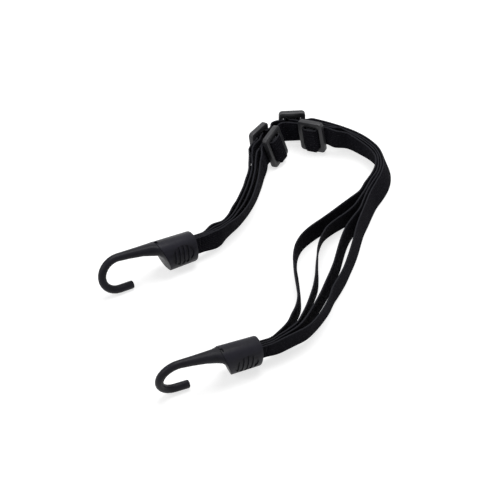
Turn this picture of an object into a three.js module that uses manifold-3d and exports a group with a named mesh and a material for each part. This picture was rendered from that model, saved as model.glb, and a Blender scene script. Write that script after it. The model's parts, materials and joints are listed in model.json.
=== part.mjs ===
// A bungee strap: an outer and an inner flat elastic band, standing on edge, between two moulded J hooks.
// Each band turns back round a pin in each hook and closes on a tri-glide adjuster at each side of the middle.
// Millimetres, +Z up, the hooks to the left and to the front, the middle of the bands at the back.
import * as THREE from "three";
import Module from "manifold-3d";
import { mergeVertices } from "three/addons/utils/BufferGeometryUtils.js";

const wasm = await Module();
wasm.setup();

// Shared clearances
const CLEARANCE = 0.3; // between two pieces that touch
const FLOOR_GAP = 0.15; // under the pieces that stand on the floor
const OVERRUN = 1.5; // how far a cut runs past what it cuts
const DEG = Math.PI / 180;

// Elastic band
const BAND_WIDTH = 15;
const BAND_THICKNESS = 1.2;
const BAND_EDGE = 0.3; // chamfer of the woven edges
const GATHERED_WIDTH = 11.5; // where a hook's mouth squeezes the band
const GATHER_LENGTH = 9; // over which it comes back to its full width
const BAND_PITCH = BAND_THICKNESS + CLEARANCE; // bands lying side by side
const BEND_RADIUS = 0.9; // centre line of a band turned round a bar's corner
const STEPS_PER_POINT = 3; // sections of a band for each point of its route
const ROUTE_UNIT = 1; // one unit of the routes' points

// Tri-glide adjuster
const ADJUSTER_HEIGHT = 24; // across the band
const ADJUSTER_LENGTH = 18; // along the band
const ADJUSTER_THICKNESS = 3.6;
const ADJUSTER_CORNER = 2.5;
const ADJUSTER_EDGE = 0.5; // rounded edge of the frame
const SIDE_BAR = 3;
const CENTRE_BAR = 3;
const CENTRE_BAR_THICKNESS = 2.4;
const BAR_CORNER = 0.7;
const WINDOW_PLAY = 1; // window height beyond the band's width
const WINDOW_CORNER = 0.8;
const TAIL_LENGTH = 9.35; // from the centre bar to the end of the sewn tail
const TAIL_KNEE = 5; // where the tail reaches its level under the side bar
const CREST_RADIUS = 3.4; // centre line of the band over the centre bar
const CREST_FLAT = 0.7; // half the flat on top of the crest
const WEAVE_TILT = 16; // degrees, of the band's run through a slot

// Hook: its own axes run from the mouth of the housing to the bowl (u), up (v) and to the side (w)
const ROD = 5.3; // diameter of the hook's bowl
const BOWL_U = 54;
const BOWL_V = -1.5;
const BOWL_RADIUS_U = 11.7;
const BOWL_RADIUS_V = 11.1;
const TIP_U = 44.8; // flat end of the hook's tip
const TIP_EDGE = 0.7; // rounding of that end
const RIM_TOP_U = 26.8; // the seam leans from here at the top
const RIM_BOTTOM_U = 18.7; // to here at the bottom
const RIM_TOP_V = 10.9;
const RIM_BOTTOM_V = -10.7;
const RIM_HALF_WIDTH = 8.4;
const THROAT_U = 29; // where the shank meets the flare
const THROAT_V = 3;
const THROAT_TOP_U = 30.5;
const SHANK_HALF_WIDTH = 4.5;
const MOUTH_HALF_HEIGHT = 10;
const MOUTH_HALF_WIDTH = 8.2;
const MOUTH_EDGE = 0.8; // rounding of the housing's end
const COVER_WALL = 1.3;
const COVER_END_WALL = 2;
const SLOT_HALF_HEIGHT = 6.2;
const SLOT_HALF_WIDTH = 3.8;
const PIN_DIAMETER = 2;
const PIN_U = 12;
const PIN_HALF_LENGTH = 7.2;
const CHEEK_END_U = 7; // the fork's ends, inside the mouth
const FORK_ROOT_U = 17;
const PIN_RING = PIN_DIAMETER / 2 + CLEARANCE + BAND_THICKNESS / 2; // centre line of a band round its pin
const PIN_W = BAND_PITCH / 2 + PIN_RING; // the pins' distance from the middle
const NECK_LENGTH = 4.6; // band outside the mouth that stays straight
const SEAM = CLEARANCE / 2;
const GRIP_START_U = 3.2;
const GRIP_END_U = 19;
const GRIP_HALF_HEIGHT = 6.6;
const GRIP_DEPTH = 0.6;
const GRIP_RIB = 1.3;
const GRIP_RIBS = 4;
const DOT_U = 9.9;
const DOT_V = -4.3;
const DOT_DIAMETER = 1.3;
const DOT_DEPTH = 0.35;
const NOTCH_LENGTH = 2;
const NOTCH_DEPTH = 1;
const NOTCH_WIDTH = 3;

// Stations of the shank between bowl and throat, and of the flare between throat and rim
const SHANK_SHARES = [
  { along: 0.33, drop: 0.2, width: 0.22 },
  { along: 0.7, drop: 0.52, width: 0.6 },
  { along: 0.97, drop: 1, width: 1 },
];
const CROWN_FALL_SHARE = 0.7; // of the crown's fall to the rim, reached at the throat
const FLARE_SHARES = [
  { crown: 0.5, back: 0.3, drop: 0.07, width: 0.24 },
  { crown: 0.78, back: 0.52, drop: 0.22, width: 0.48 },
  { crown: 0.89, back: 0.72, drop: 0.48, width: 0.72 },
  { crown: 0.95, back: 0.88, drop: 0.77, width: 0.9 },
  { crown: 1, back: 1, drop: 1, width: 1 },
];

// Where the hardware lies: middle of each hook's mouth and of each adjuster, headings in degrees
const LEFT_MOUTH_X = -36.8;
const LEFT_MOUTH_Y = -8.8;
const RIGHT_MOUTH_X = 4.6;
const RIGHT_MOUTH_Y = -104.1;
const HOOKS = {
  left: { x: LEFT_MOUTH_X, y: LEFT_MOUTH_Y, heading: 211.6, pitch: 4.2, lean: 14, outward: 1 },
  right: { x: RIGHT_MOUTH_X, y: RIGHT_MOUTH_Y, heading: 207, pitch: 4.2, lean: 8, outward: -1 },
};
const OUTER_LEFT_X = 6.7;
const OUTER_LEFT_Y = 94.6;
const INNER_LEFT_X = 17;
const INNER_LEFT_Y = 89.5;
const OUTER_RIGHT_X = 28.4;
const OUTER_RIGHT_Y = 112.8;
const INNER_RIGHT_X = 42;
const INNER_RIGHT_Y = 100.4;
const ADJUSTERS = {
  outer_left: { x: OUTER_LEFT_X, y: OUTER_LEFT_Y, heading: 55, cant: 0, lean: 8, side: 1, hook: -1 },
  inner_left: { x: INNER_LEFT_X, y: INNER_LEFT_Y, heading: 61, cant: 6, lean: 17, side: -1, hook: -1 },
  outer_right: { x: OUTER_RIGHT_X, y: OUTER_RIGHT_Y, heading: 4, cant: 0, lean: 0, side: 1, hook: 1 },
  inner_right: { x: INNER_RIGHT_X, y: INNER_RIGHT_Y, heading: -26, cant: 8, lean: -3, side: -1, hook: 1 },
};

// Free routes of the bands, from the left hook round the back to the right hook.
// Each point: x, y of the band's middle, height of its lower edge, lean of its upper edge outward in degrees.
const OUTER_LEFT_THROUGH = [
  [-24.1, 5.6, 2, 3], [-18.7, 10.9, 1, -6], [-14.9, 18, 0.6, -9], [-12.4, 25.4, 0.5, -9],
  [-9.5, 32.2, 0.3, -8], [-6.9, 39, 0.3, -5], [-4.6, 45.9, 0.4, -3], [-2.9, 52.9, 0.5, -1],
  [-1, 59.9, 0.8, 1], [0, 66.9, 1.3, 3], [0.1, 74, 2.4, 4], [-0.3, 80, 3.6, -2],
];
const OUTER_LEFT_RETURN = [
  [-22.3, 4, 2, 1], [-17.6, 9.8, 1.1, -7], [-13.4, 16.5, 0.6, -10], [-10.3, 23.4, 0.4, -10],
  [-7.8, 30.6, 0.3, -9], [-5.2, 37.5, 0.3, -6], [-2.9, 44.4, 0.4, -3], [-1.1, 51.3, 0.4, -1],
  [0.6, 58.2, 0.7, 1], [1.8, 65.2, 1.2, 4], [2.2, 72.4, 2.2, 6], [2.8, 77.6, 3.4, 11],
];
const INNER_LEFT_RETURN = [
  [-20.8, 2.4, 2, 0], [-16.5, 8.7, 1.1, -8], [-12.3, 15.2, 0.5, -12], [-8.8, 22, 0.4, -12],
  [-5.6, 28.7, 0.3, -11], [-2.9, 35.5, 0.3, -8], [-0.6, 42.4, 0.3, -4], [1.3, 49.4, 0.3, -1],
  [2.8, 56.6, 0.6, 2], [4, 63.6, 1, 4], [4.8, 70.7, 2.2, 8], [6.2, 78.4, 3.4, 12],
];
const INNER_LEFT_THROUGH = [
  [-19.2, 0.5, 3, -1], [-14.9, 7.2, 2.2, -9], [-10.7, 13.8, 1.1, -14], [-6.8, 20.2, 0.3, -14],
  [-3.2, 26.7, 0.3, -13], [-0.3, 33.4, 0.3, -10], [2.1, 40.5, 0.3, -6], [4, 47.4, 0.3, -2],
  [5.6, 54.5, 0.4, 1], [6.9, 61.5, 0.9, 5], [8, 68.4, 2, 9], [9.4, 75.2, 3.3, 13],
];
const INNER_RIGHT_THROUGH = [
  [57.2, 96.1, 6.8, -2], [66.2, 96.2, 4.5, -9], [74.3, 91.9, 2.5, -12], [81, 85, 2.1, -15],
  [85.4, 76.5, 1.7, -16], [85.2, 66.9, 1.3, -17], [82, 58.1, 0.9, -15], [77.1, 49.9, 0.5, -11],
  [72.6, 41.3, 0.3, -7], [66, 34.3, 0.3, -4], [59.3, 27.4, 0.3, -2], [52.6, 20.4, 0.3, 0],
  [45.9, 13.4, 0.3, 0], [39.1, 6.5, 0.3, 0], [33.3, -1.2, 0.3, 0], [29.8, -10.1, 0.3, -3],
  [28.6, -19.6, 0.3, -7], [29, -29.3, 0.3, -11], [29.6, -38.9, 0.3, -12], [30.3, -48.6, 0.3, -10],
  [30.5, -58.2, 0.3, -6], [28.5, -67.8, 0.9, 0], [25.3, -76.2, 1.6, 4], [21.9, -85.1, 2.6, 7],
];
const INNER_RIGHT_RETURN = [
  [60.5, 100, 5.9, -3], [67, 98.3, 4.3, -9], [74.7, 94.3, 2.4, -11], [81.6, 87.7, 2, -14],
  [86.5, 79.6, 1.5, -17], [87.5, 70.2, 1.1, -18], [85.6, 60.9, 0.8, -17], [81.1, 52.5, 0.5, -14],
  [77.2, 43.7, 0.3, -11], [72.8, 35.4, 0.3, -6], [67.8, 27.4, 0.3, 1], [61.4, 20.4, 0.3, 7],
  [54.4, 13.9, 0.3, 10], [48.5, 6.8, 0.3, 11], [45.1, -2, 0.3, 8], [43.3, -11.3, 0.3, 3],
  [42.8, -20.9, 0.3, -1], [42.4, -30.5, 0.3, -5], [41.7, -40, 0.3, -5], [39.8, -49.4, 0.3, -1],
  [37.4, -58.7, 0.5, 1], [34.8, -67.9, 1.1, 2], [31.4, -76.9, 1.9, 5], [27.3, -85.5, 2.8, 8],
];
const OUTER_RIGHT_RETURN = [
  [47.5, 108, 4, 0], [55.8, 105.8, 3.5, -4], [64.5, 102.3, 2.9, -6], [72.8, 98.1, 2.4, -10],
  [80.2, 92.4, 2, -14], [86, 85.1, 1.5, -17], [89.1, 76.4, 1, -19], [89.2, 67.1, 0.7, -20],
  [86.6, 58.1, 0.5, -20], [82.4, 49.8, 0.4, -17], [78.5, 41.3, 0.3, -14], [75.2, 32.5, 0.3, -10],
  [71.9, 23.8, 0.3, -6], [67.6, 15.8, 0.3, -7], [63.4, 7.6, 0.3, -8], [60.4, -1.2, 0.3, -9],
  [58.1, -10.3, 0.3, -10], [56.1, -19.5, 0.3, -10], [53.8, -28.6, 0.3, -8], [51, -37.5, 0.3, -7],
  [47.8, -46.3, 0.3, -5], [44.6, -55.1, 0.5, -2], [41, -63.7, 0.8, 1], [37.2, -72.3, 1.4, 4],
  [33.1, -80.7, 2.3, 7], [28, -88.5, 3.2, 10],
];
const OUTER_RIGHT_THROUGH = [
  [42, 112, 4.3, 0], [48.5, 110.3, 3.9, 0], [56.2, 107.8, 3.4, -2],
  [65.2, 104.4, 2.7, -5], [73.8, 100, 2.2, -9],
  [81.4, 94.1, 1.7, -13], [87.5, 86.7, 1.3, -17], [90.8, 77.7, 0.8, -20], [91.1, 68.1, 0.3, -21],
  [88.9, 58.7, 0.3, -22], [85.1, 49.7, 0.3, -21], [81.1, 41, 0.3, -17], [78, 32, 0.3, -15],
  [75.1, 22.9, 0.3, -14], [72, 13.6, 0.3, -13], [69.7, 4.3, 0.3, -13], [67.7, -5.1, 0.3, -12],
  [65.3, -14.5, 0.3, -10], [62.6, -23.7, 0.3, -7], [59.7, -32.9, 0.3, -5],
  [56.1, -41.8, 0.3, -4], [52.1, -50.6, 0.3, -3], [49.2, -60, 0.4, 1], [45.4, -69, 0.8, 5],
  [40.9, -77.8, 1.5, 8], [35.5, -86, 2.3, 10], [28.2, -92.5, 3.2, 11],
];

const OUTER_MIDDLE = [[15.6, 107, 4.5, 6]];
const INNER_MIDDLE = [[21.5, 105, 5.4, 9], [26.4, 106.3, 5.2, 4], [30.8, 106.2, 5, 0]];

// Levels of the bands at an adjuster, measured from its middle plane
const THROUGH_LEVEL = ADJUSTER_THICKNESS / 2 + CLEARANCE + BAND_THICKNESS / 2;
const RETURN_LEVEL = THROUGH_LEVEL + BAND_PITCH;
const CREST_LEVEL = CENTRE_BAR_THICKNESS / 2 + 2 * CLEARANCE + 1.5 * BAND_THICKNESS;
const WEAVE_END = ADJUSTER_LENGTH / 2 - SIDE_BAR / 2;
const PLUG_HALF_HEIGHT = MOUTH_HALF_HEIGHT - COVER_WALL - CLEARANCE;
const PLUG_HALF_WIDTH = MOUTH_HALF_WIDTH - COVER_WALL - CLEARANCE;

// Roundness of the lofted shapes: 2 is an ellipse, more is squarer
const ROUND = 2;
const SQUARE_BLOCK = 2.3;
const SQUARE_PLUG = 3.4;
const RING_SIDES = 24;
const BOWL_STEPS = 14;
const ARC_STEPS = 5;
const CORNER_STEPS = 2;
const CIRCLE_SIDES = 20;
const MERGE_DISTANCE = 1e-4;

const vec = (x, y, z) => new THREE.Vector3(x, y, z);
const mix = (a, b, share) => a + (b - a) * share;
const UP = vec(0, 0, 1);

// Materials
const HOOK_BLACK = { color: 0x1c1d20, roughness: 0.5, metalness: 0 };
const ADJUSTER_BLACK = { color: 0x202124, roughness: 0.45, metalness: 0 };
const BAND_BLACK = { color: 0x0e0e10, roughness: 0.9, metalness: 0 };
const PIN_STEEL = { color: 0x9a9ca0, roughness: 0.35, metalness: 1 };

function piece(name, geometry, look) {
  const mesh = new THREE.Mesh(geometry, new THREE.MeshStandardMaterial(look));
  mesh.name = name;
  return mesh;
}

// Closed geometry to manifold solid and back
function solid(geometry) {
  const bare = geometry.clone();
  bare.deleteAttribute("normal");
  bare.deleteAttribute("uv");
  const merged = mergeVertices(bare, MERGE_DISTANCE);
  const vertProperties = merged.attributes.position.array;
  const triVerts = merged.index.array;
  return new wasm.Manifold(new wasm.Mesh({ numProp: 3, vertProperties, triVerts }));
}

function geometryOf(body) {
  const mesh = body.getMesh();
  const geometry = new THREE.BufferGeometry();
  geometry.setAttribute("position", new THREE.BufferAttribute(new Float32Array(mesh.vertProperties), 3));
  geometry.setIndex(new THREE.BufferAttribute(new Uint32Array(mesh.triVerts), 1));
  geometry.computeVertexNormals();
  return geometry;
}

// A closed skin over rings that hold the same number of points
function loft(rings) {
  const sides = rings[0].length;
  const points = rings.flat();
  const middle = (ring) => ring.reduce((sum, p) => sum.add(p), vec(0, 0, 0)).divideScalar(sides);
  const first = points.push(middle(rings[0])) - 1;
  const last = points.push(middle(rings[rings.length - 1])) - 1;
  const faces = [];
  const end = (rings.length - 1) * sides;
  for (let i = 0; i < sides; i++) {
    const next = (i + 1) % sides;
    for (let row = 0; row < end; row += sides) {
      faces.push([row + i, row + next, row + sides + next]);
      faces.push([row + i, row + sides + next, row + sides + i]);
    }
    faces.push([first, next, i]);
    faces.push([last, end + i, end + next]);
  }
  const volume = faces.reduce((sum, [a, b, c]) => {
    return sum + points[a].dot(vec(0, 0, 0).crossVectors(points[b], points[c]));
  }, 0);
  const facing = volume < 0 ? faces.map(([a, b, c]) => [a, c, b]) : faces;
  const geometry = new THREE.BufferGeometry().setFromPoints(points);
  geometry.setIndex(facing.flat());
  geometry.computeVertexNormals();
  return geometry;
}

// A box between two corners
function block(from, to) {
  const size = vec(0, 0, 0).subVectors(to, from);
  const box = new THREE.BoxGeometry(size.x, size.y, size.z);
  return solid(box.translate((from.x + to.x) / 2, (from.y + to.y) / 2, (from.z + to.z) / 2));
}

// A rounded rectangle about the origin
function roundedShape(length, height, radius) {
  const x = length / 2;
  const y = height / 2;
  const shape = new THREE.Shape();
  shape.moveTo(x - radius, -y);
  shape.absarc(x - radius, radius - y, radius, -Math.PI / 2, 0);
  shape.absarc(x - radius, y - radius, radius, 0, Math.PI / 2);
  shape.absarc(radius - x, y - radius, radius, Math.PI / 2, Math.PI);
  shape.absarc(radius - x, radius - y, radius, Math.PI, 1.5 * Math.PI);
  return shape;
}

function prism(shape, depth) {
  const options = { depth, bevelEnabled: false, curveSegments: CORNER_STEPS };
  return new THREE.ExtrudeGeometry(shape, options).translate(0, 0, -depth / 2);
}

// Points on an arc, angles in degrees
function arc(x, y, radius, from, to, steps) {
  return Array.from({ length: steps + 1 }, (_, i) => {
    const angle = mix(from, to, i / steps) * DEG;
    return [x + radius * Math.cos(angle), y + radius * Math.sin(angle)];
  });
}

// The side view of a band laid along a path, drawn on both sides of its centre line
function ribbonShape(path) {
  const left = [];
  const right = [];
  path.forEach(([x, y], i) => {
    const before = path[Math.max(i - 1, 0)];
    const after = path[Math.min(i + 1, path.length - 1)];
    const into = new THREE.Vector2(x - before[0], y - before[1]).normalize();
    const out = new THREE.Vector2(after[0] - x, after[1] - y).normalize();
    const along = into.clone().add(out).normalize();
    const bend = into.lengthSq() * out.lengthSq() > 0 ? along.dot(into) : 1;
    const reach = BAND_THICKNESS / 2 / bend;
    left.push(new THREE.Vector2(x - along.y * reach, y + along.x * reach));
    right.unshift(new THREE.Vector2(x + along.y * reach, y - along.x * reach));
  });
  return new THREE.Shape([...left, ...right]);
}

// Adjuster: x along the band, y out of its middle plane on the crest's side, z across the band
function adjusterFrame() {
  const outline = roundedShape(ADJUSTER_LENGTH, ADJUSTER_HEIGHT, ADJUSTER_CORNER);
  const windowLength = ADJUSTER_LENGTH - 2 * SIDE_BAR;
  const windowHeight = BAND_WIDTH + WINDOW_PLAY;
  outline.holes.push(roundedShape(windowLength, windowHeight, WINDOW_CORNER));
  const depth = ADJUSTER_THICKNESS - 2 * ADJUSTER_EDGE;
  const rim = new THREE.ExtrudeGeometry(outline, {
    depth,
    bevelThickness: ADJUSTER_EDGE,
    bevelSize: ADJUSTER_EDGE,
    bevelOffset: -ADJUSTER_EDGE,
    bevelSegments: 2,
    curveSegments: CORNER_STEPS,
  });
  rim.translate(0, 0, -depth / 2).rotateX(Math.PI / 2);
  const bar = prism(roundedShape(CENTRE_BAR, CENTRE_BAR_THICKNESS, BAR_CORNER), windowHeight + SIDE_BAR / 2);
  return geometryOf(solid(rim).add(solid(bar)));
}

// The band under one side bar, up through the slot, over the centre bar and down again
function weave() {
  const slotX = ADJUSTER_LENGTH / 2 - SIDE_BAR;
  const rise = [
    [-WEAVE_END + SEAM, -THROUGH_LEVEL],
    ...arc(-slotX, -ADJUSTER_THICKNESS / 2, BEND_RADIUS, -90, -WEAVE_TILT, ARC_STEPS),
    ...arc(-CREST_FLAT, CREST_LEVEL - CREST_RADIUS, CREST_RADIUS, 180 - WEAVE_TILT, 90, ARC_STEPS + 2),
  ];
  const fall = rise.map(([x, y]) => [-x, y]).reverse();
  return prism(ribbonShape([...rise, ...fall]), BAND_WIDTH);
}

// The band's end, closed round the centre bar and sewn to itself, and its tail toward the hook
function sewnEnd(toward) {
  const outer = 2 * (CLEARANCE + BAND_THICKNESS);
  const ring = roundedShape(
    CENTRE_BAR + outer,
    CENTRE_BAR_THICKNESS + outer,
    BAR_CORNER + CLEARANCE + BAND_THICKNESS,
  );
  const inner = 2 * CLEARANCE;
  ring.holes.push(roundedShape(CENTRE_BAR + inner, CENTRE_BAR_THICKNESS + inner, BAR_CORNER + CLEARANCE));
  const under = CENTRE_BAR_THICKNESS / 2 + CLEARANCE + BAND_THICKNESS / 2;
  const tail = ribbonShape([
    [0, -under],
    [toward * TAIL_KNEE, -RETURN_LEVEL],
    [toward * TAIL_LENGTH, -RETURN_LEVEL],
  ]);
  return geometryOf(solid(prism(ring, BAND_WIDTH)).add(solid(prism(tail, BAND_WIDTH))));
}

// Axes of a piece that runs along a heading, rises by a pitch and leans to one side, all in degrees
function tiltedAxes(heading, pitch, lean, leanSide) {
  const level = vec(Math.cos(heading * DEG), Math.sin(heading * DEG), 0);
  const run = level.clone().multiplyScalar(Math.cos(pitch * DEG)).addScaledVector(UP, Math.sin(pitch * DEG));
  const side = vec(0, 0, 0).crossVectors(UP, level).multiplyScalar(leanSide);
  const up = UP.clone().multiplyScalar(Math.cos(lean * DEG)).addScaledVector(side, Math.sin(lean * DEG));
  up.addScaledVector(run, -up.dot(run)).normalize();
  return { run, up };
}

function adjusterPlace({ x, y, heading, cant, lean, side }) {
  const { run, up } = tiltedAxes(heading, cant, lean, 1);
  const out = vec(0, 0, 0).crossVectors(up, run).multiplyScalar(side);
  const rise = Math.abs(run.z) * ADJUSTER_LENGTH + Math.abs(up.z) * ADJUSTER_HEIGHT;
  const halfHeight = (rise + Math.abs(out.z) * ADJUSTER_THICKNESS) / 2;
  const origin = vec(x, y, FLOOR_GAP + halfHeight);
  return { run, up, out, origin, lean };
}

// A band's control point beside an adjuster: how far along the run, and how deep under its middle plane
function besideAdjuster(place, along, depth) {
  const at = place.origin.clone().addScaledVector(place.run, along).addScaledVector(place.out, -depth);
  return { at, lean: place.lean };
}

// Hook: points are u, v, w
function ring(outer, inner, halfWidth, squareness) {
  return Array.from({ length: RING_SIDES }, (_, i) => {
    const angle = (2 * Math.PI * i) / RING_SIDES;
    const power = (value) => Math.sign(value) * Math.abs(value) ** (2 / squareness);
    const share = (1 + power(Math.sin(angle))) / 2;
    return vec(
      mix(inner[0], outer[0], share),
      mix(inner[1], outer[1], share),
      halfWidth * power(Math.cos(angle)),
    );
  });
}

const seamU = (v) => mix(RIM_BOTTOM_U, RIM_TOP_U, (v - RIM_BOTTOM_V) / (RIM_TOP_V - RIM_BOTTOM_V));

function bowlRings() {
  const radius = ROD / 2;
  const tipV = BOWL_V - BOWL_RADIUS_V;
  const tip = [0, 45, 90].map((angle) => {
    const inset = TIP_EDGE * (1 - Math.sin(angle * DEG));
    const u = TIP_U + TIP_EDGE * (1 - Math.cos(angle * DEG));
    return ring([u, tipV - radius + inset], [u, tipV + radius - inset], radius - inset, ROUND);
  });
  const bend = Array.from({ length: BOWL_STEPS + 1 }, (_, i) => {
    const angle = mix(-90, 90, i / BOWL_STEPS) * DEG;
    const facing = new THREE.Vector2(Math.cos(angle) / BOWL_RADIUS_U, Math.sin(angle) / BOWL_RADIUS_V);
    const normal = facing.normalize().multiplyScalar(radius);
    const u = BOWL_U + BOWL_RADIUS_U * Math.cos(angle);
    const v = BOWL_V + BOWL_RADIUS_V * Math.sin(angle);
    return ring([u + normal.x, v + normal.y], [u - normal.x, v - normal.y], radius, ROUND);
  });
  return [...tip, ...bend];
}

function shankRings() {
  const crownV = BOWL_V + BOWL_RADIUS_V + ROD / 2;
  const undersideV = crownV - ROD;
  const shank = SHANK_SHARES.map(({ along, drop, width }) => {
    const u = mix(BOWL_U, THROAT_U, along);
    const halfWidth = mix(ROD / 2, SHANK_HALF_WIDTH, width);
    const topU = mix(BOWL_U, THROAT_TOP_U, along);
    const topV = mix(crownV, RIM_TOP_V, CROWN_FALL_SHARE * along);
    const bottom = [u, mix(undersideV, THROAT_V, drop)];
    return ring([topU, topV], bottom, halfWidth, mix(ROUND, SQUARE_BLOCK, width));
  });
  const flare = FLARE_SHARES.map(({ crown, back, drop, width }) => {
    const fall = mix(CROWN_FALL_SHARE, 1, crown);
    const top = [mix(THROAT_TOP_U, RIM_TOP_U, crown), mix(crownV, RIM_TOP_V, fall)];
    const bottom = [mix(THROAT_U, RIM_BOTTOM_U, back), mix(THROAT_V, RIM_BOTTOM_V, drop)];
    return ring(top, bottom, mix(SHANK_HALF_WIDTH, RIM_HALF_WIDTH, width), SQUARE_BLOCK);
  });
  return [...shank, ...flare];
}

function plugRings(halfHeight, halfWidth, ends) {
  return ends.map((u) => {
    const top = [u ?? seamU(halfHeight), halfHeight];
    const bottom = [u ?? seamU(-halfHeight), -halfHeight];
    return ring(top, bottom, halfWidth, SQUARE_PLUG);
  });
}

// The hook's main moulding: bowl, shank, flare, and the fork inside the cover
function hookCore() {
  const plug = plugRings(PLUG_HALF_HEIGHT, PLUG_HALF_WIDTH, [null, CHEEK_END_U]);
  let body = solid(loft([...bowlRings(), ...shankRings(), ...plug]));
  const gap = GATHERED_WIDTH / 2 + CLEARANCE;
  const wide = RIM_HALF_WIDTH + OVERRUN;
  body = body.subtract(block(vec(CHEEK_END_U - OVERRUN, -gap, -wide), vec(FORK_ROOT_U, gap, wide)));
  for (const side of [-1, 1]) {
    const hole = new THREE.CylinderGeometry(
      PIN_DIAMETER / 2 + CLEARANCE,
      PIN_DIAMETER / 2 + CLEARANCE,
      2 * (PLUG_HALF_HEIGHT + OVERRUN),
      CIRCLE_SIDES,
    );
    body = body.subtract(solid(hole.translate(PIN_U, 0, side * PIN_W)));
  }
  return geometryOf(body);
}

// Outside of the cover, drawn in by a depth
function coverRings(depth) {
  const edge = [0, 45, 90].map((angle) => {
    const inset = depth + MOUTH_EDGE * (1 - Math.sin(angle * DEG));
    const u = MOUTH_EDGE * (1 - Math.cos(angle * DEG));
    const height = MOUTH_HALF_HEIGHT - inset;
    return ring([u, height], [u, -height], MOUTH_HALF_WIDTH - inset, SQUARE_BLOCK);
  });
  const rim = ring(
    [RIM_TOP_U - CLEARANCE, RIM_TOP_V - depth],
    [RIM_BOTTOM_U - CLEARANCE, RIM_BOTTOM_V + depth],
    MOUTH_HALF_WIDTH - depth,
    SQUARE_BLOCK,
  );
  return [...edge, rim];
}

// Ribbed grip panels on both sides of the cover
function gripCut() {
  const middle = (GRIP_START_U + GRIP_END_U) / 2;
  const halfLength = (GRIP_END_U - GRIP_START_U) / 2;
  const oval = new THREE.CylinderGeometry(1, 1, 2 * (MOUTH_HALF_WIDTH + OVERRUN), CIRCLE_SIDES);
  oval.rotateX(Math.PI / 2).scale(halfLength, GRIP_HALF_HEIGHT, 1).translate(middle, 0, 0);
  let cut = solid(oval);
  for (let i = 0; i < GRIP_RIBS; i++) {
    const u = mix(GRIP_START_U, GRIP_END_U, (i + 1) / (GRIP_RIBS + 1));
    const reach = vec(GRIP_RIB / 2, GRIP_HALF_HEIGHT + OVERRUN, MOUTH_HALF_WIDTH + 2 * OVERRUN);
    const at = vec(u, 0, 0);
    cut = cut.subtract(block(at.clone().sub(reach), at.clone().add(reach)));
  }
  return cut.subtract(solid(loft(coverRings(GRIP_DEPTH))));
}

// The sleeve round fork, pins and band loops, with the mouth in its end wall
function hookCover() {
  let body = solid(loft(coverRings(0)));
  const roomHeight = PLUG_HALF_HEIGHT + CLEARANCE;
  const roomWidth = PLUG_HALF_WIDTH + CLEARANCE;
  body = body.subtract(solid(loft(plugRings(roomHeight, roomWidth, [COVER_END_WALL, RIM_TOP_U + OVERRUN]))));
  const slot = vec(COVER_END_WALL + OVERRUN, SLOT_HALF_HEIGHT, SLOT_HALF_WIDTH);
  body = body.subtract(block(vec(-OVERRUN, -slot.y, -slot.z), slot));
  body = body.subtract(gripCut());
  const dotEnd = GRIP_DEPTH + DOT_DEPTH;
  const dot = new THREE.CylinderGeometry(DOT_DIAMETER / 2, DOT_DIAMETER / 2, OVERRUN + dotEnd, CIRCLE_SIDES);
  dot.rotateX(Math.PI / 2).translate(DOT_U, DOT_V, -MOUTH_HALF_WIDTH + (dotEnd - OVERRUN) / 2);
  body = body.subtract(solid(dot));
  const notchTop = vec(RIM_TOP_U + OVERRUN, RIM_TOP_V + OVERRUN, NOTCH_WIDTH / 2);
  const notchFoot = vec(RIM_TOP_U - NOTCH_LENGTH, RIM_TOP_V - NOTCH_DEPTH, -NOTCH_WIDTH / 2);
  return geometryOf(body.subtract(block(notchFoot, notchTop)));
}

function hookPin(side) {
  const radius = PIN_DIAMETER / 2;
  const pin = new THREE.CylinderGeometry(radius, radius, 2 * PIN_HALF_LENGTH, CIRCLE_SIDES);
  return pin.translate(PIN_U, 0, side * PIN_W);
}

// A band drawn in the u, w plane of the hook, gathered to its width inside the mouth
function gatheredBand(path) {
  const drawn = path.map(([u, w]) => [u, -w]);
  return prism(ribbonShape(drawn), GATHERED_WIDTH).rotateX(-Math.PI / 2);
}

function hookLoop(side) {
  const near = BAND_PITCH / 2;
  const far = 1.5 * BAND_PITCH;
  const path = [
    [SEAM, near],
    ...arc(PIN_U, PIN_W, PIN_RING, -90, 90, 2 * ARC_STEPS),
    [COVER_END_WALL, far],
    [SEAM, far],
  ];
  return gatheredBand(path.map(([u, w]) => [u, side * w]));
}

function hookNeck(offset) {
  return gatheredBand([
    [-SEAM, offset],
    [-NECK_LENGTH, offset],
  ]);
}

function hookPlace({ x, y, heading, pitch, lean, outward }) {
  const { run, up } = tiltedAxes(heading, pitch, lean, -outward);
  const side = vec(0, 0, 0).crossVectors(run, up);
  const heights = [...bowlRings(), ...shankRings(), ...coverRings(0)]
    .flat()
    .map((p) => run.z * p.x + up.z * p.y + side.z * p.z);
  const origin = vec(x, y, FLOOR_GAP - Math.min(...heights));
  return { run, up, side, origin, lean, outward };
}

// Control points of a band at a mouth, offset outward across the hook
function atMouth(place, distance, offset) {
  const at = place.origin.clone().addScaledVector(place.run, -distance);
  at.addScaledVector(place.side, offset * place.outward);
  return { at, lean: place.lean };
}

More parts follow.
